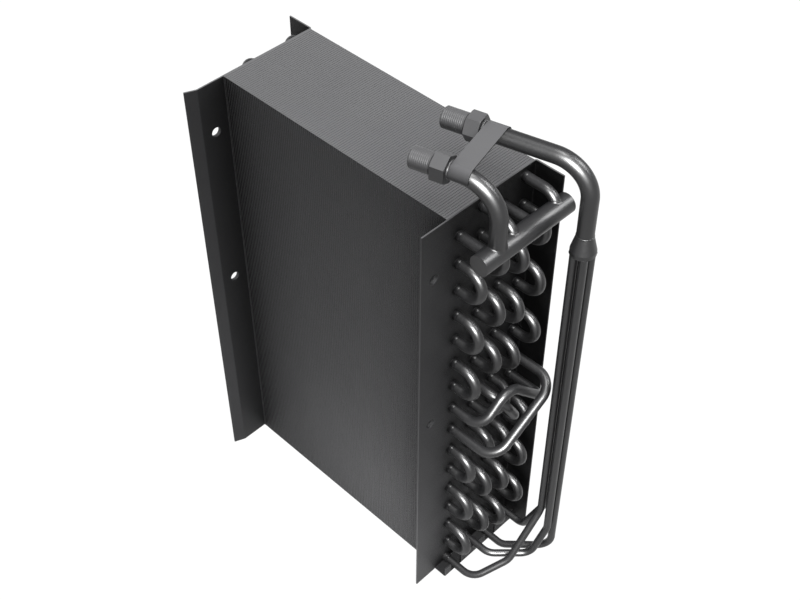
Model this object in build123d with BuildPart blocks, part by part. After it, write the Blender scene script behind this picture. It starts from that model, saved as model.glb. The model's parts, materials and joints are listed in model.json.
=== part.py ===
from build123d import *
import os
from math import cos, radians, sin

os.makedirs("parts", exist_ok=True)

# A finned refrigerant evaporator coil, in millimetres. X runs along the tubes to the connection
# end, Y from the front face to the back, Z up. The origin is under the middle of the fin block.

# Tube pattern
row_count = 4
hairpins_per_row = 8
tubes_per_row = 2 * hairpins_per_row
tube_pitch = 25.4
row_pitch = 22.0
pattern_drop = 1.0  # the whole pattern sits this far below the middle of the fins
tube_od = 7.94
tube_wall = 0.41
bend_radius = tube_pitch / 2

# Fins and end plates
coil_length = 230.5  # over the outer faces of the two end plates
coil_depth = row_count * row_pitch
coil_height = tubes_per_row * tube_pitch
sheet = 1.2
fin_pitch = 25.4 / 12  # twelve fins to the inch
fin_edge = 1.8  # how thick a fin's rolled and coated edge stands
fin_gap_depth = 0.8
plate_hole_play = 0.3  # on the diameter, round each tube
flange_gap = 0.3  # between the fins' back and the flange behind them
front_leaf = 24.8  # how far each plate stands in front of the fins
right_flange = 25.0
left_flange = 24.0
left_lip_reach = 9.4
left_lip_splay = 4.0
sheet_bend = 1.2  # inside radius of the folds
gutter_width = 12.7
gutter_height = 12.0
gutter_overhang = 2.0  # how far it starts in front of the fins
gutter_rear_gap = 2.0  # between its end and the rear flange
notch_width = 12.7
screw_hole = 8.0
screw_collar = 2.8  # how long each hole is drawn, sheet included
collar_wall = 0.8
hole_mouth = 0.4  # round on the edge that the punch went in by
screw_height = 208.0
screw_spacing = 153.0
screw_count = 2
screw_inset = 12.5  # in front of the fins

# Tube ends outside the plates
leg_proud = 3.0  # hairpin ends, where the return bends are brazed on
straight_out = 10.5  # from the right plate to the start of a return bend
hairpin_out = 1.0  # from the left plate to the start of a hairpin's own bend

# Crossovers between the rows, at the two middle tubes of each row
upper_middle = 2 * (hairpins_per_row // 2)
lower_middle = upper_middle + 1
loop_reach = 46.0
loop_radius = 16.0
slant_reach = 32.0
slant_radius = 16.0
arch_reach = 30.5
arch_peak_reach = 33.0
arch_end_reach = 35.5
arch_rise = 14.5  # its top corner above the middle leg it passes over
arch_shift = 5.4  # and behind that leg
arch_radii = [14.0, 14.0, 9.0]

# Suction header and riser
header_od = 15.88
header_wall = 1.0
header_reach = 30.0  # its axis from the end plate
header_front = 2.0  # how far it starts in front of the fins
cap_thickness = 2.0
cap_spigot = 2.5  # how far a cap reaches into the header
stub_depth = 1.2  # how far a stub passes the header's inner wall
stub_turn = 75.0  # degrees that the even rows' stubs turn down into the header
riser_seat = 4.5  # the riser's end above the header's axis
pipe_od = 12.7
pipe_wall = 0.9
pipe_bore = pipe_od - 2 * pipe_wall
pipe_turn = 15.0  # degrees in plan that both upper pipes are turned
pipe_rise = 35.8  # the upper pipes' axis above the fins
riser_from_front = 15.8
riser_radius = 29.0

# Liquid line
liquid_reach = 58.7  # axis of the down leg from the end plate
liquid_from_front = 73.0
liquid_radius = 27.0
fitting_hex = 19.0  # across the flats
hex_length = 10.6
socket_depth = 8.0
spud_od = 15.88
suction_spud = 17.2
liquid_spud = 19.0
suction_hex_turn = 0.0
liquid_hex_turn = 30.0
fitting_bore = 8.0
spud_chamfer = 1.0
seat_od = 12.0  # mouth of the fitting's inner cone

# Distributor and its four feeders
distributor_drop = 22.4  # its top below the top of the fins
cone_length = 12.5
rim_length = 3.5
distributor_od = 19.0
spigot_length = 6.0
nozzle_bore = 6.0
chamber_od = 14.4
feeder_od = 6.35
feeder_wall = 0.8
feeder_pitch = 8.4
feeder_seat = 5.0
feeder_insert = 8.0  # how far a feeder enters the hairpin's end

# Bends of the feeders, by row. Each leaves its row's lowest tube and turns up below its seat. The
# first two turn at a knee on the way, placed from the distributor's axis and the tube's height.
feeder_reach = {1: 32.0, 2: 30.0, 3: 27.0, 4: 31.5}
feeder_knee = {1: (-9.3, -35.8, 18.65), 2: (-3.0, -14.5, 0.0)}
feeder_turn_up = {1: 71.5, 2: 52.8, 3: 18.0, 4: 73.9}
feeder_radii = {1: [17.0, 18.0, 20.0], 2: [14.0, 12.0, 16.0], 3: [14.0, 18.0], 4: [10.0, 16.0]}

# Strap over the two upper pipes
strap_thickness = 1.0
strap_width = 14.8
strap_play = 0.1
strap_back = 20.1  # its edge from the riser's axis, along the pipe
strap_curl = 98.0  # degrees from a pipe's top to the strap's end
suction_hex_gap = 1.9  # from its other edge to each fitting's hexagon
liquid_hex_gap = 2.3

# Places worked out from the sizes above
plate_end = coil_length / 2
front = -coil_depth / 2
back = coil_depth / 2
pipe_z = coil_height + pipe_rise
header_x = plate_end + header_reach
riser_y = front + riser_from_front
liquid_x = plate_end + liquid_reach
liquid_y = front + liquid_from_front
distributor_top = coil_height - distributor_drop
along_pipes = Vector(cos(radians(pipe_turn)), sin(radians(pipe_turn)), 0)
across_pipes = Vector(-along_pipes.Y, along_pipes.X, 0)
riser_top = Vector(header_x, riser_y, pipe_z)
liquid_top = Vector(liquid_x, liquid_y, pipe_z)
strap_front = strap_back + strap_width
riser_run = strap_front + suction_hex_gap  # from each pipe's corner to its fitting's hexagon
liquid_run = (liquid_top - riser_top).dot(along_pipes) + strap_front + liquid_hex_gap


def row_y(row):
    """Depth of a row of tubes; row 1 is at the front."""
    return front + (row - 0.5) * row_pitch


def tube_z(row, number):
    """Height of a tube; number 1 is at the top, and even rows sit half a pitch higher."""
    stagger = 0.75 if row % 2 else 0.25
    return coil_height - (number - 1 + stagger) * tube_pitch - pattern_drop


def outside(row, number, reach):
    """A point on a tube's axis, at a distance from the connection end plate."""
    return Vector(plate_end + reach, row_y(row), tube_z(row, number))


def lay_tube(route, od, wall, mode=Mode.ADD):
    """Sweep a round tube along a wire, into the piece being built; no wall gives a solid rod."""
    with BuildSketch(Plane(origin=route @ 0, z_dir=route % 0)) as section:
        Circle(od / 2)
        if wall:
            Circle(od / 2 - wall, mode=Mode.SUBTRACT)
    sweep(sections=section.sketch, path=route, mode=mode)


def bent_route(points, radii):
    """Straight runs joined by tangent arcs, one radius for each corner."""
    with BuildLine() as line:
        FilletPolyline(*points, radius=radii)
    return line.wire()


def u_route(first, second, reach):
    """Out along X from one tube end, round a half circle, and back to the other."""
    half = (second - first) / 2
    run = Vector(reach, 0, 0)
    crown = Vector(half.length if reach > 0 else -half.length, 0, 0)
    with BuildLine() as line:
        Line(first, first + run)
        ThreePointArc(first + run, first + half + run + crown, second + run)
        Line(second + run, second)
    return line.wire()


rows = range(1, row_count + 1)
tube_places = [(row_y(row), tube_z(row, n)) for row in rows for n in range(1, tubes_per_row + 1)]

# Fin block: the fins' edges stand all round a core that is bored for every tube
fin_length = coil_length - 2 * sheet
fins = int(fin_length / fin_pitch)
with BuildPart() as fin_pack:
    with BuildSketch(Plane.XY):
        Rectangle(fin_length, coil_depth - 2 * fin_gap_depth)
    extrude(amount=coil_height - fin_gap_depth)
    with BuildSketch(Plane.XY):
        with GridLocations((fin_length - fin_edge) / (fins - 1), 0, fins, 1):
            Rectangle(fin_edge, coil_depth)
    extrude(amount=coil_height, clean=False)
    with BuildSketch(Plane.YZ.offset(-fin_length / 2)):
        with Locations(tube_places):
            Circle(tube_od / 2)
    extrude(amount=fin_length, mode=Mode.SUBTRACT, clean=False)
fin_pack.part.label = "fin_pack"
export_step(fin_pack.part, "parts/fin_pack.step")


def fold_sheet(points, height):
    """A folded strip of the plates' sheet along a plan line through its middle, standing up."""
    with BuildSketch() as section:
        with BuildLine():
            FilletPolyline(*points, radius=sheet_bend + sheet / 2)
        trace(line_width=sheet)
    extrude(section.sketch, amount=height)


def cut_tube_holes(near, far):
    """Holes for every tube, through the sheet between two stations along X."""
    with BuildSketch(Plane.YZ.offset(near)) as holes:
        with Locations(tube_places):
            Circle((tube_od + plate_hole_play) / 2)
    extrude(holes.sketch, amount=far - near, mode=Mode.SUBTRACT)


def draw_screw_holes(plate, near):
    """Screw holes in the front leaf, each drawn through from its +X face into a collar."""
    places = [(front - screw_inset, screw_height + n * screw_spacing) for n in range(screw_count)]
    bore = screw_hole / 2
    for radius, mode in ((bore + collar_wall, Mode.ADD), (bore, Mode.SUBTRACT)):
        with BuildSketch(Plane.YZ.offset(near)) as ring:
            with Locations(places):
                Circle(radius)
        extrude(ring.sketch, amount=-screw_collar, mode=mode)
    in_leaf = plate.edges().filter_by_position(Axis.Y, front - front_leaf, front)
    rims = in_leaf.filter_by(GeomType.CIRCLE).filter_by(lambda rim: abs(rim.radius - bore) < collar_wall / 2)
    fillet(rims.group_by(Axis.X)[-1], hole_mouth)


# Right end plate: tube sheet, front leaf, rear flange and the gutter folded out at its foot
flange_mid = back + flange_gap + sheet / 2
right_mid = plate_end - sheet / 2
fold = sheet + sheet_bend
with BuildPart() as right_end_plate:
    fold_sheet(
        [
            (right_mid, front - front_leaf),
            (right_mid, flange_mid),
            (plate_end + right_flange, flange_mid),
        ],
        coil_height,
    )
    gutter_start = front - gutter_overhang
    gutter_length = back - gutter_rear_gap - gutter_start
    with Locations((right_mid, gutter_start + gutter_length / 2, 0)):
        Box(2 * sheet, gutter_length, 2 * fold, mode=Mode.SUBTRACT)
    gutter_mid = plate_end + gutter_width - sheet / 2
    with BuildSketch(Plane.XZ.offset(-gutter_start)):
        with BuildLine():
            FilletPolyline(
                (right_mid, 2 * fold), (right_mid, sheet / 2),
                (gutter_mid, sheet / 2), (gutter_mid, gutter_height),
                radius=sheet_bend + sheet / 2,
            )
        trace(line_width=sheet)
    extrude(amount=-gutter_length)
    for row in range(1, row_count + 1, 2):
        with Locations((gutter_mid, row_y(row), sheet + gutter_height / 2)):
            Box(2 * fold, notch_width, gutter_height, mode=Mode.SUBTRACT)
    cut_tube_holes(plate_end - fold, plate_end + fold)
    draw_screw_holes(right_end_plate, plate_end)
right_end_plate.part.label = "right_end_plate"
export_step(right_end_plate.part, "parts/right_end_plate.step")

# Left end plate: the same without the gutter, with a splayed lip along its front edge
left_mid = sheet / 2 - plate_end
with BuildPart() as left_end_plate:
    fold_sheet(
        [
            (left_mid - left_lip_splay, front - front_leaf - left_lip_reach),
            (left_mid, front - front_leaf),
            (left_mid, flange_mid),
            (-plate_end - left_flange, flange_mid),
        ],
        coil_height,
    )
    cut_tube_holes(-plate_end - fold, fold - plate_end)
    draw_screw_holes(left_end_plate, sheet - plate_end)
left_end_plate.part.label = "left_end_plate"
export_step(left_end_plate.part, "parts/left_end_plate.step")

# Hairpins: eight to a row, pushed in from the left, their ends just through the right plate
for row in rows:
    with BuildPart() as hairpins:
        for top_tube in range(1, tubes_per_row, 2):
            ends = [outside(row, n, leg_proud) for n in (top_tube, top_tube + 1)]
            lay_tube(u_route(*ends, -leg_proud - coil_length - hairpin_out), tube_od, tube_wall)
    hairpins.part.label = f"hairpins_row_{row}"
    export_step(hairpins.part, f"parts/hairpins_row_{row}.step")

# Return bends: three above and three below the middle tubes of each row
upper_pairs = range(2, upper_middle, 2)
lower_pairs = range(lower_middle + 1, tubes_per_row, 2)
for row in rows:
    for place, tops in (("upper", upper_pairs), ("lower", lower_pairs)):
        with BuildPart() as return_bends:
            for top_tube in tops:
                ends = [outside(row, n, leg_proud) for n in (top_tube, top_tube + 1)]
                lay_tube(u_route(*ends, straight_out - leg_proud), tube_od, tube_wall)
        return_bends.part.label = f"{place}_return_bends_row_{row}"
        export_step(return_bends.part, f"parts/{place}_return_bends_row_{row}.step")

# Crossovers join the middle tubes of the rows
with BuildPart() as loop_crossover:
    loop_points = [
        outside(1, lower_middle, leg_proud), outside(1, lower_middle, loop_reach),
        outside(4, upper_middle, loop_reach), outside(4, upper_middle, leg_proud),
    ]
    lay_tube(bent_route(loop_points, [loop_radius, loop_radius]), tube_od, tube_wall)
loop_crossover.part.label = "loop_crossover"
export_step(loop_crossover.part, "parts/loop_crossover.step")

with BuildPart() as slanted_return_bend:
    slanted_ends = [outside(2, lower_middle, leg_proud), outside(3, upper_middle, leg_proud)]
    lay_tube(u_route(*slanted_ends, straight_out - leg_proud), tube_od, tube_wall)
slanted_return_bend.part.label = "slanted_return_bend"
export_step(slanted_return_bend.part, "parts/slanted_return_bend.step")

with BuildPart() as slanted_crossover:
    slant_points = [
        outside(2, upper_middle, leg_proud), outside(2, upper_middle, slant_reach),
        outside(3, lower_middle, slant_reach), outside(3, lower_middle, leg_proud),
    ]
    lay_tube(bent_route(slant_points, [slant_radius, slant_radius]), tube_od, tube_wall)
slanted_crossover.part.label = "slanted_crossover"
export_step(slanted_crossover.part, "parts/slanted_crossover.step")

with BuildPart() as arched_crossover:
    arch_peak = outside(2, upper_middle, arch_peak_reach) + Vector(0, arch_shift, arch_rise)
    arch_points = [
        outside(1, upper_middle, leg_proud), outside(1, upper_middle, arch_reach), arch_peak,
        outside(4, lower_middle, arch_end_reach), outside(4, lower_middle, leg_proud),
    ]
    lay_tube(bent_route(arch_points, arch_radii), tube_od, tube_wall)
arched_crossover.part.label = "arched_crossover"
export_step(arched_crossover.part, "parts/arched_crossover.step")

# Suction header: a tube across the rows, with a hole for each stub and for the riser
header_z = tube_z(1, 1)
header_bore = header_od - 2 * header_wall
header_start = front - header_front
header_length = back - header_start - 2 * cap_thickness


def stub_route(row):
    """From a row's top tube into the header: straight on odd rows, turned down on even ones."""
    start = outside(row, 1, leg_proud)
    if row % 2:
        with BuildLine() as line:
            Line(start, Vector(header_x - header_bore / 2 + stub_depth, start.Y, start.Z))
        return line.wire()
    centre = Vector(header_x - bend_radius, start.Y, start.Z - bend_radius)
    spots = [
        centre + Vector(bend_radius * sin(radians(turn)), 0, bend_radius * cos(radians(turn)))
        for turn in (0, stub_turn / 2, stub_turn)
    ]
    with BuildLine() as line:
        Line(start, spots[0])
        ThreePointArc(*spots)
    return line.wire()


riser_foot = Vector(header_x, riser_y, header_z + riser_seat)
with BuildPart() as suction_header:
    with BuildSketch(Plane.XZ.offset(-header_start - cap_thickness)):
        with Locations((header_x, header_z)):
            Circle(header_od / 2)
            Circle(header_bore / 2, mode=Mode.SUBTRACT)
    extrude(amount=-header_length)
    for row in rows:
        lay_tube(stub_route(row), tube_od, 0, mode=Mode.SUBTRACT)
    with BuildSketch(Plane.XY.offset(riser_foot.Z)):
        with Locations((header_x, riser_y)):
            Circle(pipe_od / 2)
    extrude(amount=header_od, mode=Mode.SUBTRACT)
suction_header.part.label = "suction_header"
export_step(suction_header.part, "parts/suction_header.step")

for name, face, inward in (("front_header_cap", header_start, 1), ("rear_header_cap", back, -1)):
    outer_face = Plane(origin=(header_x, face, header_z), z_dir=(0, inward, 0))
    with BuildPart() as header_cap:
        for diameter, depth in ((header_od, cap_thickness), (header_bore, cap_thickness + cap_spigot)):
            with BuildSketch(outer_face):
                Circle(diameter / 2)
            extrude(amount=depth)
    header_cap.part.label = name
    export_step(header_cap.part, f"parts/{name}.step")

for row in rows:
    with BuildPart() as header_stub:
        lay_tube(stub_route(row), tube_od, tube_wall)
    header_stub.part.label = f"header_stub_row_{row}"
    export_step(header_stub.part, f"parts/header_stub_row_{row}.step")

# Upper pipes and their end fittings
with BuildPart() as suction_riser:
    riser_end = riser_top - along_pipes * (riser_run + socket_depth)
    lay_tube(bent_route([riser_foot, riser_top, riser_end], [riser_radius]), pipe_od, pipe_wall)
suction_riser.part.label = "suction_riser"
export_step(suction_riser.part, "parts/suction_riser.step")

with BuildPart() as liquid_line:
    liquid_end = liquid_top - along_pipes * (liquid_run + socket_depth)
    liquid_foot = Vector(liquid_x, liquid_y, distributor_top)
    lay_tube(bent_route([liquid_end, liquid_top, liquid_foot], [liquid_radius]), pipe_od, pipe_wall)
liquid_line.part.label = "liquid_line"
export_step(liquid_line.part, "parts/liquid_line.step")

for name, corner, run, spud_length, turn in (
    ("suction_fitting", riser_top, riser_run, suction_spud, suction_hex_turn),
    ("liquid_fitting", liquid_top, liquid_run, liquid_spud, liquid_hex_turn),
):
    face = Plane(origin=corner - along_pipes * run, x_dir=(0, 0, 1), z_dir=-along_pipes)
    total = hex_length + spud_length
    with BuildPart() as fitting:
        with BuildSketch(face):
            RegularPolygon(fitting_hex / 2, 6, major_radius=False, rotation=turn)
        extrude(amount=hex_length)
        with BuildSketch(face.offset(hex_length)):
            Circle(spud_od / 2)
        extrude(amount=spud_length)
        tip = fitting.faces().sort_by(Axis((0, 0, 0), -along_pipes))[-1]
        chamfer(tip.edges(), spud_chamfer)
        with BuildSketch(face):
            Circle(pipe_od / 2)
        extrude(amount=socket_depth, mode=Mode.SUBTRACT)
        with BuildSketch(face.offset(socket_depth)):
            Circle(fitting_bore / 2)
        extrude(amount=total - socket_depth, mode=Mode.SUBTRACT)
        seat_depth = (seat_od - fitting_bore) / 2
        with Locations(face.offset(total - seat_depth / 2)):
            Cone(fitting_bore / 2, seat_od / 2, seat_depth, mode=Mode.SUBTRACT)
    fitting.part.label = name
    export_step(fitting.part, f"parts/{name}.step")

# Distributor: a turned cone on the liquid line's foot, with a seat for each feeder
distributor_foot = distributor_top - cone_length - rim_length
chamber_floor = distributor_foot + feeder_seat
feeder_sides = [(-0.5, -0.5), (0.5, -0.5), (0.5, 0.5), (-0.5, 0.5)]
feeder_places = [(liquid_x + x * feeder_pitch, liquid_y + y * feeder_pitch) for x, y in feeder_sides]
with BuildPart() as distributor:
    with BuildSketch(Plane.XZ.offset(-liquid_y)):
        with Locations((liquid_x, 0)):
            Polygon(
                (nozzle_bore / 2, distributor_top + spigot_length),
                (pipe_bore / 2, distributor_top + spigot_length),
                (pipe_bore / 2, distributor_top),
                (pipe_od / 2, distributor_top),
                (distributor_od / 2, distributor_top - cone_length),
                (distributor_od / 2, distributor_foot),
                (0, distributor_foot),
                (0, chamber_floor),
                (chamber_od / 2, chamber_floor),
                (nozzle_bore / 2, distributor_top),
                align=None,
            )
    revolve(axis=Axis((liquid_x, liquid_y, 0), (0, 0, 1)))
    with BuildSketch(Plane.XY.offset(distributor_foot)):
        with Locations(feeder_places):
            Circle(feeder_od / 2)
    extrude(amount=feeder_seat, mode=Mode.SUBTRACT)
distributor.part.label = "distributor"
export_step(distributor.part, "parts/distributor.step")

# Feeders: from inside each row's lowest hairpin end to the distributor
for row, (x, y) in zip(rows, feeder_places):
    tube = outside(row, tubes_per_row, 0)
    feeder_points = [
        tube + Vector(leg_proud - feeder_insert, 0, 0),
        tube + Vector(feeder_reach[row], 0, 0),
        (x, y, feeder_turn_up[row]),
        (x, y, chamber_floor),
    ]
    if row in feeder_knee:
        knee_x, knee_y, knee_rise = feeder_knee[row]
        feeder_points.insert(2, (liquid_x + knee_x, liquid_y + knee_y, tube.Z + knee_rise))
    with BuildPart() as feeder:
        lay_tube(bent_route(feeder_points, feeder_radii[row]), feeder_od, feeder_wall)
    feeder.part.label = f"feeder_tube_{row}"
    export_step(feeder.part, f"parts/feeder_tube_{row}.step")

# Strap: one strip over both upper pipes, curled down their outer sides
strap_face = Plane(riser_top - along_pipes * strap_back, x_dir=across_pipes, z_dir=along_pipes)
pipe_gap = (liquid_top - riser_top).dot(across_pipes)
strap_radius = pipe_od / 2 + strap_play + strap_thickness / 2


def on_curl(degrees):
    """A point on a curl round a pipe, by its angle from the pipe's top."""
    return strap_radius * sin(radians(degrees)), strap_radius * cos(radians(degrees))


with BuildPart() as pipe_strap:
    with BuildSketch(strap_face):
        with BuildLine():
            near = [(-x, y) for x, y in (on_curl(strap_curl), on_curl(strap_curl / 2), on_curl(0))]
            far = [(pipe_gap - x, y) for x, y in reversed(near)]
            ThreePointArc(*near)
            Line(near[-1], far[0])
            ThreePointArc(*far)
        trace(line_width=strap_thickness)
    extrude(amount=-strap_width)
pipe_strap.part.label = "pipe_strap"
export_step(pipe_strap.part, "parts/pipe_strap.step")
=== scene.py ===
import json
from math import pi, radians

import bpy
import numpy as np
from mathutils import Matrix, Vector

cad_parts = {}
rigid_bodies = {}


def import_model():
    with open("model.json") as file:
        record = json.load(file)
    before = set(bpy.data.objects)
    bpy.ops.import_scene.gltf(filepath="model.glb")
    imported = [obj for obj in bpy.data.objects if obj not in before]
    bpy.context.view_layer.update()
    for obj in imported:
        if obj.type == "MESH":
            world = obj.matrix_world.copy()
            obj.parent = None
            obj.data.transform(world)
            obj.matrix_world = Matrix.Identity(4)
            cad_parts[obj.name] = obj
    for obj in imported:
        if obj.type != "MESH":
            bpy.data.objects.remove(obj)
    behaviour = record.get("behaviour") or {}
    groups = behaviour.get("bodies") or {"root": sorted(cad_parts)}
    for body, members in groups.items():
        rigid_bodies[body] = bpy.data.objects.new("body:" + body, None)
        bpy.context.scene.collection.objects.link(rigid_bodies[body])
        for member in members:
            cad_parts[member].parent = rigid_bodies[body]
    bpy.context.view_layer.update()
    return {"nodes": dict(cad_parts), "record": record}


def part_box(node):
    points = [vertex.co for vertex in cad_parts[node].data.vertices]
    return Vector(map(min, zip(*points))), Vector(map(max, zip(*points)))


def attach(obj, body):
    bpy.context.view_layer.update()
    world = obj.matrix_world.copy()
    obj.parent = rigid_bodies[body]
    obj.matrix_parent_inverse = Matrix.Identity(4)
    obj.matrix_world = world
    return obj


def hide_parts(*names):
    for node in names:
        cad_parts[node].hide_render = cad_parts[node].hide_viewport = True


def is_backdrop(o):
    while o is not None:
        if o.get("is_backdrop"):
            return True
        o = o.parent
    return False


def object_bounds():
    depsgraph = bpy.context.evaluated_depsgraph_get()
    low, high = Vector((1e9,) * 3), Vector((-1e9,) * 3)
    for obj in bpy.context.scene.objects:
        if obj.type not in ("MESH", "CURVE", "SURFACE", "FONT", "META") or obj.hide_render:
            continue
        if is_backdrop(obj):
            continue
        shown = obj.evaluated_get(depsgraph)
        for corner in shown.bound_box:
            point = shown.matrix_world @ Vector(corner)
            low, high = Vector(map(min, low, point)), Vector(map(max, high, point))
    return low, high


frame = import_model()
print("frame loaded:", len(frame["nodes"]), "nodes")

mm = 0.001               # the shapes below are worked out in millimetres
scene = bpy.context.scene
scene.view_settings.view_transform = "Standard"

# the photograph's view, solved from its edges: metres, degrees, and the lens in millimetres
view = {
    "spot": (0.53747, -0.51337, 0.96738),
    "turn": (44.811, 0.086, 44.760),
    "lens": 57.91,
    "sensor": 36.0,
}
cameraData = bpy.data.cameras.new("photoView")
cameraData.lens = view["lens"]
cameraData.sensor_width = view["sensor"]
camera = bpy.data.objects.new("photoView", cameraData)
camera.location = view["spot"]
camera.rotation_euler = [radians(a) for a in view["turn"]]
scene.collection.objects.link(camera)
scene.camera = camera
print("camera set")


# sRGB hex to the linear values that the shaders take: straight near black, a power of 2.4 above that
def toLinear(hexColour):
    parts = np.array([int(hexColour[i:i + 2], 16) / 255 for i in (1, 3, 5)])
    linear = np.where(parts <= 0.04045, parts / 12.92, ((parts + 0.055) / 1.055) ** 2.4)
    return (*linear.tolist(), 1.0)


# one shader node: properties or socket values first, then what feeds each socket
def addNode(tree, kind, settings=None, links=None):
    node = tree.nodes.new("ShaderNode" + kind)
    for name, value in (settings or {}).items():
        if isinstance(name, int) or name in node.inputs:
            node.inputs[name].default_value = value
        else:
            setattr(node, name, value)
    for name, socket in (links or {}).items():
        tree.links.new(socket, node.inputs[name])
    return node


# a material with an empty node tree
def newMaterial(name):
    material = bpy.data.materials.new(name)
    material.use_nodes = True
    tree = material.node_tree
    tree.nodes.clear()
    return material, tree


# what all the coats share
coatBuild = {
    "cloudDetail": 3.0,
    "grainDetail": 2.0,
    "openSamples": 6,
    "gapLightFull": 0.3,      # open share of the sky in a gap at which the painted gap light is full
    "gapLightNone": 0.9,    # and at which there is none
    "grainLow": 0.3,     # the part of the grain's noise that the gloss follows
    "grainHigh": 0.7,
}


# The colour goes from dark to light with a slow noise, and is multiplied by a painted shade that falls from 1
# to paintedRecessShade as the open share of a point's surroundings falls from open to closed, so recesses and
# corners are painted darker where shade falls. The roughness goes from smooth to rough with a fine noise, and
# the same noise is the bump of the coat's skin.
def coatedMaterial(name, finish):
    material, tree = newMaterial(name)
    place = addNode(tree, "TexCoord").outputs["Object"]
    clouds = addNode(tree, "TexNoise", {
        "Scale": 1 / (finish["cloudSize"] * mm), "Detail": coatBuild["cloudDetail"],
    }, {"Vector": place})
    grain = addNode(tree, "TexNoise", {
        "Scale": 1 / (finish["grainSize"] * mm), "Detail": coatBuild["grainDetail"],
    }, {"Vector": place})
    colour = addNode(tree, "Mix", {
        "data_type": "RGBA", 6: toLinear(finish["dark"]), 7: toLinear(finish["light"]),
    }, {0: clouds.outputs["Fac"]})
    openness = addNode(tree, "AmbientOcclusion", {
        "samples": coatBuild["openSamples"], "Distance": finish["paintedShadeReach"] * mm,
    }).outputs["AO"]
    if "between" in finish:
        # painted light: the narrow gaps, where shade falls, are mixed towards a pale colour so they stay light
        narrow = addNode(tree, "AmbientOcclusion", {
            "samples": coatBuild["openSamples"], "Distance": finish["gapReach"] * mm,
        }).outputs["AO"]
        paintedGapLightMask = addNode(tree, "MapRange", {
            "From Min": coatBuild["gapLightFull"], "From Max": coatBuild["gapLightNone"], "To Min": 1.0, "To Max": 0.0,
        }, {"Value": narrow})
        colour = addNode(tree, "Mix", {
            "data_type": "RGBA", 7: toLinear(finish["between"]),
        }, {0: paintedGapLightMask.outputs["Result"], 6: colour.outputs[2]})
        # the painted shade is measured against the gap's own openness, so the gaps are not painted darker as
        # well
        openness = addNode(tree, "Math", {
            "operation": "DIVIDE", "use_clamp": True,
        }, {0: openness, 1: narrow}).outputs[0]
        # the painted shade is kept off the level faces, so only the upright ones darken towards their corners
        normal = addNode(tree, "NewGeometry").outputs["Normal"]
        facing = addNode(tree, "SeparateXYZ", links={"Vector": normal}).outputs["Z"]
        level = addNode(tree, "Math", {"operation": "MULTIPLY", 1: finish["levelUnshaded"]}, {0: facing}).outputs[0]
        openness = addNode(tree, "Math", {"operation": "MAXIMUM"}, {0: openness, 1: level}).outputs[0]
    # painted shade: the colour is darkened towards recesses and corners, where shade falls
    paintedShadeFactor = addNode(tree, "MapRange", {
        "From Min": finish["closed"], "From Max": finish["open"],
        "To Min": finish["paintedRecessShade"], "To Max": 1.0,
    }, {"Value": openness})
    coatWithPaintedShade = addNode(tree, "Mix", {
        "data_type": "RGBA", "blend_type": "MULTIPLY", 0: 1.0,
    }, {6: colour.outputs[2], 7: paintedShadeFactor.outputs["Result"]})
    sheen = addNode(tree, "MapRange", {
        "From Min": coatBuild["grainLow"], "From Max": coatBuild["grainHigh"],
        "To Min": finish["smooth"], "To Max": finish["rough"],
    }, {"Value": grain.outputs["Fac"]})
    skin = addNode(tree, "Bump", {
        "Strength": finish["bump"], "Distance": finish["grainSize"] * mm,
    }, {"Height": grain.outputs["Fac"]})
    shader = addNode(tree, "BsdfPrincipled", {
        "IOR": finish["ior"], "Specular IOR Level": finish["specular"],
    }, {
        "Base Color": coatWithPaintedShade.outputs[2], "Roughness": sheen.outputs["Result"], "Normal": skin.outputs["Normal"],
    })
    addNode(tree, "OutputMaterial", links={"Surface": shader.outputs["BSDF"]})
    return material


# The coats are dark grey epoxy over metal. In millimetres: cloudSize is how far the coat's thickness drifts,
# grainSize the orange peel of its skin, and paintedShadeReach how far round a point the painted recess shade
# looks for cover. The real peel is a little finer on the fins and plates, and is drawn as coarse as it needs
# to show.

# punched aluminium fins, dipped: a satin charcoal, with painted light that keeps the gaps between them pale
finFinish = {
    "cloudSize": 60.0, "grainSize": 0.9, "dark": "#727274", "light": "#7a7a7b",
    "paintedShadeReach": 80.0, "paintedRecessShade": 0.12, "closed": 0.69, "open": 0.99,
    "gapReach": 2.0, "between": "#b2b2b4", "levelUnshaded": 0.92,
    "smooth": 0.5, "rough": 0.6, "bump": 0.06, "ior": 1.5, "specular": 0.06,
}
# folded sheet steel, electrocoated and baked: satin, with a fine orange peel
sheetFinish = {
    "cloudSize": 45.0, "grainSize": 0.8, "dark": "#707072", "light": "#787879",
    "paintedShadeReach": 60.0, "paintedRecessShade": 0.13, "closed": 0.55, "open": 0.97,
    "smooth": 0.42, "rough": 0.52, "bump": 0.06, "ior": 1.5, "specular": 0.08,
}
# drawn and bent copper tube, dipped: darker, smooth and glossy, with long bright highlights
tubeFinish = {
    "cloudSize": 18.0, "grainSize": 1.6, "dark": "#2d2d2f", "light": "#333334",
    "paintedShadeReach": 30.0, "paintedRecessShade": 0.12, "closed": 0.3, "open": 0.85,
    "smooth": 0.36, "rough": 0.4, "bump": 0.012, "ior": 1.5, "specular": 0.38,
}
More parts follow.
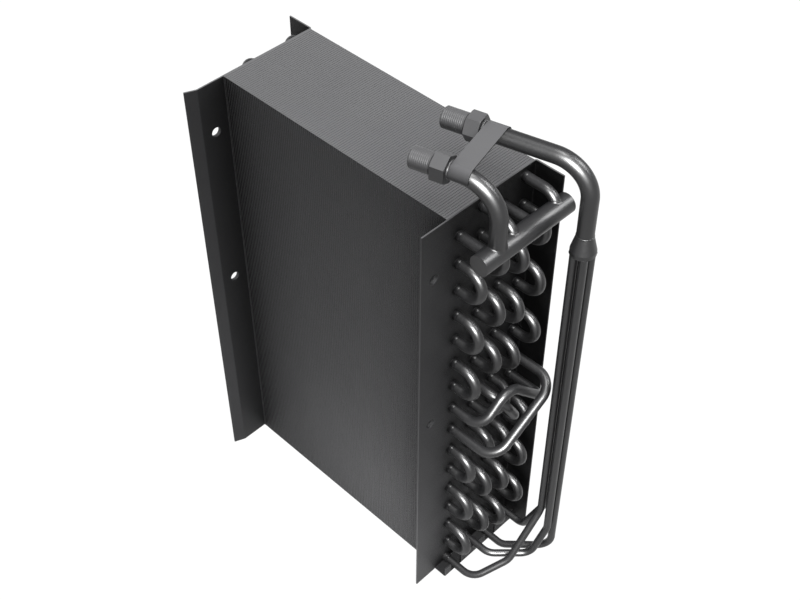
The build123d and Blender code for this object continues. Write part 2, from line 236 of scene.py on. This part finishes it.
# turned and milled brass, dipped: paler than the tubes, with a soft sheen over the thread
brassFinish = {
    "cloudSize": 9.0, "grainSize": 0.5, "dark": "#646466", "light": "#6c6c6d",
    "paintedShadeReach": 20.0, "paintedRecessShade": 0.4, "closed": 0.2, "open": 0.85,
    "smooth": 0.4, "rough": 0.46, "bump": 0.02, "ior": 1.5, "specular": 0.2,
}
finCoat = coatedMaterial("epoxyDippedAluminiumFins", finFinish)
sheetCoat = coatedMaterial("electrocoatedSheetSteel", sheetFinish)
tubeCoat = coatedMaterial("epoxyDippedDrawnCopper", tubeFinish)
brassCoat = coatedMaterial("epoxyDippedTurnedBrass", brassFinish)
slotMaterials = {
    "coated_fins": finCoat,
    "coated_sheet_steel": sheetCoat,
    "coated_copper_tube": tubeCoat,
    "coated_brass": brassCoat,
}
nodeSlots = {part["node"]: part["material_slot"] for part in frame["record"]["subparts"]}
for name, node in frame["nodes"].items():
    node.data.materials.clear()
    node.data.materials.append(slotMaterials[nodeSlots[name]])
# the distributor is as dark and glossy as the tubes that are brazed into it
frame["nodes"]["distributor"].data.materials[0] = tubeCoat
print("materials on", len(nodeSlots), "nodes")


# Points come as copies x stations x steps x 3, in millimetres, and close on themselves both ways. Each quad
# joins a point to the next station and the next step. The sum of each quad's diagonals crossed, times its
# corners' sum, has the sign of the volume, and where that is negative the quads are turned round.
def closedPiece(name, points, slotName, sharpFrom):
    copies, stations, steps = points.shape[:3]
    copy, i, j = np.meshgrid(np.arange(copies), np.arange(stations), np.arange(steps), indexing="ij")
    first = copy * stations * steps
    onRow, onNextRow = first + i * steps, first + (i + 1) % stations * steps
    turn = (j + 1) % steps
    quads = np.stack([onRow + j, onNextRow + j, onNextRow + turn, onRow + turn], -1).reshape(-1, 4)
    spots = points.reshape(-1, 3) * mm
    a, b, c, d = [spots[quads[:, k]] for k in range(4)]
    if (np.cross(c - a, d - b) * (a + b + c + d)).sum() < 0:
        quads = quads[:, ::-1]
    mesh = bpy.data.meshes.new(name)
    mesh.from_pydata(spots.tolist(), [], quads.tolist())
    mesh.shade_smooth()
    mesh.set_sharp_from_angle(angle=radians(sharpFrom))
    mesh.materials.append(slotMaterials[slotName])
    piece = bpy.data.objects.new(name, mesh)
    scene.collection.objects.link(piece)
    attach(piece, "root")
    return piece


# Two directions square to an axis: one is the axis crossed with straight up, so it is level, or +Y for an
# axis that is itself upright; the other is the first crossed with the axis.
def acrossFrom(axis):
    axis = np.array(axis) / np.linalg.norm(axis)
    upright = abs(axis[2]) >= 0.9
    level = np.array([0.0, 1.0, 0.0]) if upright else np.cross(axis, (0, 0, 1))
    level /= np.linalg.norm(level)
    return axis, np.cross(level, axis), level


# Rings: each (along, radius) point of a closed profile is carried round the axis, at each of the places.
def turnedRings(profile, places, axis, sides):
    axis, up, level = acrossFrom(axis)
    turn = np.linspace(0, 2 * pi, sides, endpoint=False)[:, None, None]
    along, radius = np.array(profile).T[:, :, None]
    ring = along * axis + radius * (np.cos(turn) * up + np.sin(turn) * level)
    return np.array(places)[:, None, None] + ring


# The profile of a braze fillet: a quarter circle from a tube's wall out onto the face that it stands on,
# closed a little inside both.
def filletProfile(radius, reach, sink, steps):
    turn = np.linspace(0, pi / 2, steps)
    hollow = np.stack([reach * (1 - np.sin(turn)), radius + reach * (1 - np.cos(turn))], 1)
    return [(reach, radius - sink), *hollow.tolist(), (-sink, radius + reach), (-sink, radius - sink)]


# brazed joints at the plate: each tube end is swelled into a cup, and the alloy fills its mouth
joint = {
    "rows": range(1, 5),
    "perRow": 16,
    "pitch": 25.4,
    "tubeRadius": 3.97,
    # both profiles are (along, radius) points, along from the mouth outwards
    "cup": [(-2.8, 3.8), (-2.8, 3.98), (-2.5, 4.16), (-2.1, 4.24), (-0.2, 4.24), (0.0, 4.2), (0.3, 4.08),
            (0.8, 4.0), (1.4, 3.975), (1.4, 3.8)],
    "feederCup": [(-0.8, 3.0), (-0.8, 4.0), (-0.1, 4.02), (0.1, 3.9), (0.5, 3.55), (1.1, 3.28), (1.8, 3.185),
                  (1.8, 3.0)],
    "sides": 28,
    "sharpFrom": 50.0,
}
for row in joint["rows"]:
    low, high = [np.array(corner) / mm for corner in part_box("hairpins_row_%d" % row)]
    heights = high[2] - joint["tubeRadius"] - joint["pitch"] * np.arange(joint["perRow"])
    mouths = np.array([(high[0], (low[1] + high[1]) / 2, z) for z in heights])
    cups = turnedRings(joint["cup"], mouths[:-1], (1, 0, 0), joint["sides"])
    closedPiece("brazed_cups_row_%d" % row, cups, "coated_copper_tube", joint["sharpFrom"])
    feeder = turnedRings(joint["feederCup"], mouths[-1:], (1, 0, 0), joint["sides"])
    closedPiece("brazed_feeder_end_%d" % row, feeder, "coated_copper_tube", joint["sharpFrom"])
print("tube ends brazed")

# fillets where the stubs and the riser enter the header
header = {
    "radius": 7.94,
    "riserRadius": 6.35,
    "stubTurn": 75.0,        # the even rows' stubs enter this many degrees higher round the header
    "reach": 1.1,
    "sink": 0.25,
    "sides": 48,
    "steps": 7,
    "sharpFrom": 60.0,
}
low, high = [np.array(corner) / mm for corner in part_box("suction_header")]
headerAxis = np.array([(low[0] + high[0]) / 2, 0.0, (low[2] + high[2]) / 2])


# A strip that follows the crossing of two cylinders. A line along the entering tube, r from its axis, leaves
# the header at a height of the root of the header's radius squared less the line's distance sideways
# squared. The hollow is a curve from the tube's wall to the header that bends towards that crossing, and
# out is the tube's direction in the header's cross section, as (x, z).
def saddleFillet(depth, out, radius):
    out = np.array(out) / np.hypot(*out)
    side = np.array([out[1], -out[0]])
    turn = np.linspace(0, 2 * pi, header["sides"], endpoint=False)

    def onHeader(r):
        sideways = (r * np.cos(turn))[:, None] * side
        rise = np.sqrt(header["radius"] ** 2 - (r * np.cos(turn)) ** 2)
        cross = sideways + rise[:, None] * out
        return np.stack([cross[:, 0], r * np.sin(turn), cross[:, 1]], 1)

    lift = np.array([out[0], 0, out[1]])
    corner, wide = onHeader(radius), onHeader(radius + header["reach"])
    inside = onHeader(radius - header["sink"])
    top = corner + header["reach"] * lift
    share = np.linspace(0, 1, header["steps"])[:, None, None]
    hollow = (1 - share) ** 2 * top + 2 * share * (1 - share) * corner + share ** 2 * wide
    under = [wide - header["sink"] * lift, inside - header["sink"] * lift, inside + header["reach"] * lift]
    strip = np.concatenate([hollow, np.array(under)])
    return np.swapaxes(strip, 0, 1) + headerAxis + (0, depth, 0)


entries = []
for row in joint["rows"]:
    low, high = [np.array(corner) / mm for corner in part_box("header_stub_row_%d" % row)]
    turned = radians(header["stubTurn"]) if row % 2 == 0 else 0.0
    entries.append(((low[1] + high[1]) / 2, (-np.cos(turned), np.sin(turned)), joint["tubeRadius"]))
stubStrips = np.array([saddleFillet(*entry) for entry in entries])
closedPiece("header_stub_fillets", stubStrips, "coated_copper_tube", header["sharpFrom"])
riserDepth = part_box("suction_riser")[1][1] / mm - header["riserRadius"]
riserStrip = saddleFillet(riserDepth, (0, 1), header["riserRadius"])
closedPiece("riser_fillet", riserStrip[None], "coated_copper_tube", header["sharpFrom"])
print("header fillets laid")

# pipe fittings: a chamfered hexagon, a thread with its run-outs, a coned mouth and the pipe's socket
fitting = {
    "flats": 19.0,
    "hexLength": 10.6,
    "hexCorner": 10.3,       # radius of the chamfer's circle on the hexagon's two faces
    "chamferSlope": 1.732,   # radius gained for each millimetre, a 30 degree chamfer
    "faceStations": (0, 0.12, 0.25, 0.4, 0.6, 0.9),  # where the chamfer's curve is followed, from each face
    "threadRadius": 7.94,
    "neck": 7.35,
    "neckLength": 1.5,
    "neckRise": 0.5,         # the last of it runs up to the thread
    "pitch": 1.411,          # eighteen threads to the inch
    "threadDepth": 0.12,     # shallow under the coat that fills it
    "runOut": 1.3,
    "tipChamfer": 1.0,
    "bore": 4.0,
    "mouth": 6.0,
    "socket": 6.35,
    "socketDepth": 8.0,
    "around": 96,
    "perPitch": 8,
    "spuds": {"suction": 17.2, "liquid": 19.0},   # lengths of the threaded ends
    "turns": {"suction": 0.0, "liquid": 30.0},    # how far each hexagon was turned when it was brazed
    "markInset": 0.5,        # the ports' marks stand this far inside the middle of the threaded ends
    "sharpFrom": 25.0,
    "pipeFillet": 1.0,
    "sink": 0.2,
    "filletSteps": 6,
    "filletSides": 48,
    "filletSharpFrom": 60.0,
}


# an S curve from 0 to 1: x squared times 3 less 2x
def smoothStep(x):
    x = np.clip(x, 0, 1)
    return x * x * (3 - 2 * x)


# The radius by the angle round the axis and the place along it, station by station. On the hexagon it is
# half the flats over the cosine of the angle from the nearest flat's middle, cut down to a cone at each
# face. On the thread it is a cosine wave that moves on by a pitch in a turn and fades at both ends. The
# mouth, bore and socket are a plain turned profile.
def fittingSurface(spud, turn):
    f = fitting
    angle = np.linspace(0, 2 * pi, f["around"], endpoint=False)[:, None]
    total = f["hexLength"] + spud
    nearFace = np.array(f["faceStations"])
    hexZ = np.concatenate([nearFace, f["hexLength"] - nearFace[::-1]])[None]
    flat = f["flats"] / 2 / np.cos((angle - turn) % (pi / 3) - pi / 6)
    chamfer = f["hexCorner"] + f["chamferSlope"] * np.minimum(hexZ, f["hexLength"] - hexZ)
    hexRadius = np.minimum(flat, chamfer)
    start, end = f["hexLength"] + f["neckLength"], total - f["tipChamfer"]
    neckZ = np.array([[f["hexLength"], start - f["neckRise"]]])
    neckRadius = np.array([[f["neck"], f["neck"]]])
    count = int((end - start) / f["pitch"] * f["perPitch"])
    threadZ = np.linspace(start, end, count)[None]
    wave = 0.5 - 0.5 * np.cos(2 * pi * (threadZ / f["pitch"]) - angle)
    cut = smoothStep((threadZ - start) / f["runOut"]) * smoothStep((end - threadZ) / f["runOut"])
    threadRadius = f["threadRadius"] - f["threadDepth"] * wave * cut
    inner = [
        (total, f["threadRadius"] - f["tipChamfer"]),
        (total, f["mouth"]),
        (total - (f["mouth"] - f["bore"]), f["bore"]),
        (f["socketDepth"], f["bore"]),
        (f["socketDepth"], f["socket"]),
        (0.0, f["socket"]),
    ]
    innerZ, innerRadius = np.array(inner).T[:, None]
    z = np.concatenate([hexZ, neckZ, threadZ, innerZ], 1)
    ones = np.ones_like(angle)
    radius = np.concatenate([hexRadius, neckRadius * ones, threadRadius, innerRadius * ones], 1)
    return angle[:, :, None], z[:, :, None], radius[:, :, None]


ports = {mount["name"]: mount for mount in frame["record"]["mounts"]}
for side, spud in fitting["spuds"].items():
    port = ports[side + "_port"]
    axis, up, level = acrossFrom(port["axis"])
    back = np.array(port["pos_m"]) / mm - axis * (fitting["hexLength"] + spud / 2 - fitting["markInset"])
    angle, z, radius = fittingSurface(spud, radians(fitting["turns"][side]))
    points = back + z * axis + radius * (np.cos(angle) * up + np.sin(angle) * level)
    piece = closedPiece(side + "_threaded_fitting", points[None], "coated_brass", fitting["sharpFrom"])
    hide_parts(side + "_fitting")
    ring = filletProfile(fitting["socket"], fitting["pipeFillet"], fitting["sink"], fitting["filletSteps"])
    pipeRing = turnedRings(ring, [back], -axis, fitting["filletSides"])
    closedPiece(side + "_fitting_braze", pipeRing, "coated_brass", fitting["filletSharpFrom"])
print("fittings threaded")

# distributor: a bead of alloy where the liquid line ends on it, and a fillet round each feeder
distributor = {
    "topDrop": 22.4,         # its shoulder below the top of the fins
    "pipeRadius": 6.35,
    "beadReach": 0.7,
    "beadHeight": 0.35,
    "beadSeat": 0.05,        # the bead's edges lie this far inside the pipe's wall
    "beadSink": 0.3,
    "beadSteps": 9,
    "beadSides": 48,
    "feederPitch": 8.4,
    "feederRadius": 3.175,
    "feederFillet": 0.8,
    "feederSteps": 6,
    "feederSides": 32,
    "feederSink": 0.2,
    "sharpFrom": 60.0,
}
low, high = [np.array(corner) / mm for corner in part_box("distributor")]
middle = (low + high) / 2
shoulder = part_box("fin_pack")[1][2] / mm - distributor["topDrop"]
# the bead's profile is half an ellipse on the pipe's wall
turn = np.linspace(0, pi, distributor["beadSteps"])
wall = distributor["pipeRadius"] - distributor["beadSeat"]
bead = np.stack([distributor["beadReach"] * np.cos(turn), wall + distributor["beadHeight"] * np.sin(turn)], 1)
inside = distributor["pipeRadius"] - distributor["beadSink"]
bead = bead.tolist() + [(-distributor["beadReach"], inside), (distributor["beadReach"], inside)]
beadRing = turnedRings(bead, [(middle[0], middle[1], shoulder)], (0, 0, 1), distributor["beadSides"])
closedPiece("distributor_braze", beadRing, "coated_copper_tube", distributor["sharpFrom"])
half = distributor["feederPitch"] / 2
corners = ((-1, -1), (1, -1), (1, 1), (-1, 1))
seats = [(middle[0] + x * half, middle[1] + y * half, low[2]) for x, y in corners]
feederFillet = filletProfile(distributor["feederRadius"], distributor["feederFillet"],
                             distributor["feederSink"], distributor["feederSteps"])
feederRings = turnedRings(feederFillet, seats, (0, 0, -1), distributor["feederSides"])
closedPiece("feeder_seat_braze", feederRings, "coated_copper_tube", distributor["sharpFrom"])
print("distributor brazed")

# floor and surroundings: white to the camera and in reflections, a soft grey as a source of light
room = {
    "size": 16.0,            # metres
    "floorDrop": 0.2,        # millimetres under the plates' feet
    "floorSeen": "#ffffff",
    "floorColour": "#4a4a4a",
    "glow": 0.95,
    "skyGlow": 0.02,
    "horizon": 0.38,         # brightness that glossy coats mirror at the horizon
    "overhead": 0.2,         # and high up
    "fadeFrom": 0.05,        # sine of the height at which the one starts to fade into the other
    "fadeTo": 0.6,
}
white = toLinear(room["floorSeen"])
edge, drop = room["size"] / 2, -room["floorDrop"] * mm
floorMesh = bpy.data.meshes.new("floor")
floorMesh.from_pydata([(x * edge, y * edge, drop) for x, y in corners], [], [(0, 1, 2, 3)])
floor = bpy.data.objects.new("floor", floorMesh)
floor.visible_shadow = False  # the painted recess shade of the coats then leaves the floor out
scene.collection.objects.link(floor)
floor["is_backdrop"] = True
floorPaint, tree = newMaterial("paleFloor")
path = addNode(tree, "LightPath")
seen = addNode(tree, "Math", {"operation": "MAXIMUM"}, {
    0: path.outputs["Is Camera Ray"], 1: path.outputs["Is Glossy Ray"],
})
seen = addNode(tree, "Math", {"operation": "MAXIMUM"}, {
    0: seen.outputs[0], 1: path.outputs["Is Transmission Ray"],
})
matt = addNode(tree, "BsdfDiffuse", {"Color": toLinear(room["floorColour"])})
glow = addNode(tree, "Emission", {"Color": white, "Strength": room["glow"]})
both = addNode(tree, "AddShader", links={0: matt.outputs[0], 1: glow.outputs[0]})
pick = addNode(tree, "MixShader", links={0: seen.outputs[0], 1: matt.outputs[0], 2: both.outputs[0]})
addNode(tree, "OutputMaterial", links={"Surface": pick.outputs[0]})
floorMesh.materials.append(floorPaint)

world = bpy.data.worlds.new("whiteRoom")
world.use_nodes = True
scene.world = world
tree = world.node_tree
tree.nodes.clear()
path = addNode(tree, "LightPath")
direction = addNode(tree, "TexCoord").outputs["Generated"]
height = addNode(tree, "SeparateXYZ", links={"Vector": direction}).outputs["Z"]
fade = addNode(tree, "MapRange", {
    "interpolation_type": "SMOOTHSTEP", "From Min": room["fadeFrom"], "From Max": room["fadeTo"],
    "To Min": room["horizon"], "To Max": room["overhead"],
}, {"Value": height})
soft = addNode(tree, "Background", {"Color": white, "Strength": room["skyGlow"]})
bright = addNode(tree, "Background", {"Color": white, "Strength": 1.0})
mirrored = addNode(tree, "Background", {"Color": white}, {"Strength": fade.outputs["Result"]})
reflect = addNode(tree, "Math", {"operation": "MAXIMUM"}, {
    0: path.outputs["Is Glossy Ray"], 1: path.outputs["Is Transmission Ray"],
})
lit = addNode(tree, "MixShader", links={0: reflect.outputs[0], 1: soft.outputs[0], 2: mirrored.outputs[0]})
shown = addNode(tree, "MixShader", links={
    0: path.outputs["Is Camera Ray"], 1: lit.outputs[0], 2: bright.outputs[0],
})
addNode(tree, "OutputWorld", links={"Surface": shown.outputs[0]})

# Studio lamps, in metres, degrees and Blender's own strengths: two soft suns overhead, of which one casts no
# shadow, for the level faces; low panels near the front and the right corner, and wider ones behind and on
# the left, for the upright faces; and two softboxes that show only as the highlights on glossy pieces.
lamps = {
    "main": {"kind": "SUN", "spot": (0.08, -0.08, 0.99), "aim": (0.0, 0.0, 0.0), "power": 0.8,
             "spread": 40.0},
    "evenTwin": {"kind": "SUN", "spot": (0.04, -0.04, 1.0), "aim": (0.0, 0.0, 0.0), "power": 3.0,
                 "spread": 10.0, "shadow": False},
    "lowPanel": {"kind": "AREA", "spot": (0.1, -0.17, 0.035), "aim": (0.09, -0.04, 0.05), "power": 0.09,
                 "size": 0.18, "tall": 0.06, "mattOnly": True},
    "frontPanel": {"kind": "AREA", "spot": (0.11, -0.19, 0.25), "aim": (0.105, -0.04, 0.25), "power": 0.043,
                   "size": 0.08, "tall": 0.26, "mattOnly": True},
    "sidePanel": {"kind": "AREA", "spot": (0.26, -0.13, 0.03), "aim": (0.115, -0.06, 0.03), "power": 0.07,
                  "size": 0.1, "tall": 0.1, "mattOnly": True},
    "rearPanel": {"kind": "AREA", "spot": (-0.02, 0.45, 0.16), "aim": (-0.02, 0.05, 0.18), "power": 0.5,
                  "size": 0.3, "tall": 0.25, "mattOnly": True},
    "leftPanel": {"kind": "AREA", "spot": (-0.5, 0.15, 0.16), "aim": (-0.12, 0.03, 0.18), "power": 0.35,
                  "size": 0.18, "tall": 0.25, "mattOnly": True},
    "backSoftbox": {"kind": "AREA", "spot": (1.0, 1.0, 1.6), "aim": (0.0, 0.0, 0.2), "power": 45.0,
                    "size": 0.8, "mirrorOnly": True},
    "softbox": {"kind": "AREA", "spot": (1.16, -1.1, 1.4), "aim": (0.0, 0.0, 0.2), "power": 380.0,
                "size": 0.8, "mirrorOnly": True},
}
# the softboxes are mirrored in the tubes and the fittings; the alloy's skin at the plate is too rough for it
glossyPieces = bpy.data.collections.new("glossyPieces")
for piece in scene.objects:
    coats = list(piece.data.materials) if piece.type == "MESH" else []
    if coats and coats[0] in (tubeCoat, brassCoat) and not piece.name.startswith("brazed_"):
        glossyPieces.objects.link(piece)
for name, lamp in lamps.items():
    data = bpy.data.lights.new(name, lamp["kind"])
    data.energy = lamp["power"]
    data.use_shadow = lamp.get("shadow", True)
    light = bpy.data.objects.new(name, data)
    if lamp["kind"] == "SUN":
        data.angle = radians(lamp["spread"])
    else:
        data.shape = "RECTANGLE" if "tall" in lamp else "DISK"
        data.size = lamp["size"]
        data.size_y = lamp.get("tall", lamp["size"])
    if lamp.get("mirrorOnly"):
        light.light_linking.receiver_collection = glossyPieces
    light.visible_diffuse = not lamp.get("mirrorOnly", False)
    light.visible_glossy = not lamp.get("mattOnly", False)
    light.visible_camera = False
    light.location = lamp["spot"]
    light.rotation_euler = (Vector(lamp["spot"]) - Vector(lamp["aim"])).to_track_quat("Z", "Y").to_euler()
    scene.collection.objects.link(light)
print("stage and lamps set")

low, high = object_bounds()
